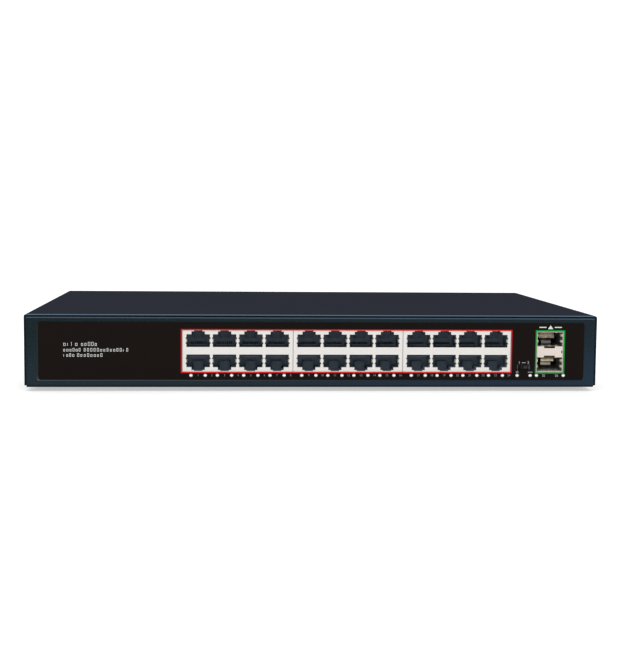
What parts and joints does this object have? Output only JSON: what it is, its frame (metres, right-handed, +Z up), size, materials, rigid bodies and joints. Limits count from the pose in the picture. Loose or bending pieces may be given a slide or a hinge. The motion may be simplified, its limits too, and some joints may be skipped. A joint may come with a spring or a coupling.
{
  "type": "rackmount network switch",
  "caption": "Flat one-unit network switch: folded steel case with two rows of copper jacks, a stacked module cage, light pipes, a mode slide switch and a rear mains inlet.",
  "frame": {"origin": "middle of the bounding box at the level where the rubber feet stand", "axes": "+X to the right seen from the front, +Y from the front panel to the rear panel, +Z up"},
  "size_m": [0.35, 0.2298, 0.0469],
  "materials": {
    "case_paint": "fine-textured dark blue-black powder coat",
    "cover_paint": "fine-textured dark powder coat",
    "overlay": "satin black printed film",
    "dark_screw": "blackened steel",
    "plated_steel": "bright plating",
    "rubber": "matt",
    "shield_nickel": "satin nickel plate",
    "divider_nickel": "satin nickel plate",
    "cage_steel": "dull nickel plate",
    "jack_plastic": "satin moulded",
    "contact_gold": "gold plated",
    "black_plastic": "satin moulded",
    "pipe_clear": "milky clear",
    "board_green": "solder mask",
    "board_tan": "phenolic board",
    "chip_epoxy": "moulded epoxy",
    "sink_black": "black anodised",
    "sink_plain": "mill finish",
    "can_sleeve": "shrunk sleeve",
    "header_nylon": "natural nylon",
    "wire_red": "pvc",
    "wire_brown": "pvc",
    "wire_green": "pvc",
    "insulator": "insulating film",
    "tape_yellow": "transformer tape",
    "copper_coil": "enamelled wire",
    "glass_fuse": "clear tube"
  },
  "bodies": {
    "chassis": {"base_tray": "case_paint", "top_cover": "cover_paint", "front_label": "overlay", "cover_screws": "dark_screw", "rubber_feet": "rubber", "board_standoffs": "plated_steel", "board_screws": "plated_steel", "main_board": "board_green", "jack_shield_1": "shield_nickel", "jack_shield_2": "shield_nickel", "jack_shield_3": "shield_nickel", "jack_housing_1": "jack_plastic", "jack_housing_2": "jack_plastic", "jack_housing_3": "jack_plastic", "jack_contacts_1": "contact_gold", "jack_contacts_2": "contact_gold", "jack_contacts_3": "contact_gold", "module_cage": "cage_steel", "module_cage_divider": "divider_nickel", "module_cage_fingers": "divider_nickel", "module_sockets": "black_plastic", "light_pipes_1": "pipe_clear", "light_pipes_2": "pipe_clear", "light_pipes_3": "pipe_clear", "light_pipes_status": "pipe_clear", "board_leds": "header_nylon", "mode_switch_frame": "plated_steel", "mode_switch_base": "black_plastic", "line_transformers": "chip_epoxy", "phy_chips": "chip_epoxy", "phy_heatsinks": "sink_black", "switch_chip": "chip_epoxy", "switch_heatsink": "sink_black", "flash_chip": "chip_epoxy", "crystal": "plated_steel", "power_inductors": "chip_epoxy", "board_capacitors": "can_sleeve", "dc_headers": "header_nylon", "dc_plugs": "header_nylon", "dc_wires": "wire_red", "psu_board": "board_tan", "psu_insulator": "insulator", "psu_transformer": "tape_yellow", "psu_bulk_capacitor": "can_sleeve", "psu_output_capacitors": "can_sleeve", "psu_heatsinks": "sink_plain", "psu_transistors": "chip_epoxy", "psu_choke": "copper_coil", "psu_x_capacitor": "tape_yellow", "psu_fuse": "glass_fuse", "inlet_body": "black_plastic", "inlet_pins": "plated_steel", "inlet_screws": "plated_steel", "power_switch_body": "black_plastic", "mains_wires": "wire_brown", "earth_wire": "wire_green", "earth_screw": "plated_steel", "ground_screw": "plated_steel"},
    "mode_slider_body": {"mode_slider": "black_plastic"},
    "power_rocker_body": {"power_rocker": "black_plastic"}
  },
  "joints": [
    {"name": "mode_slide", "type": "slide", "parent": "chassis", "child": "mode_slider_body", "axis": [1, 0, 0], "range_m": [-0.0025, 0]},
    {"name": "power_rocker_pivot", "type": "hinge", "parent": "chassis", "child": "power_rocker_body", "pos_m": [-0.092, 0.10942, 0.0245], "axis": [1, 0, 0], "range_deg": [-20, 0]}
  ]
}
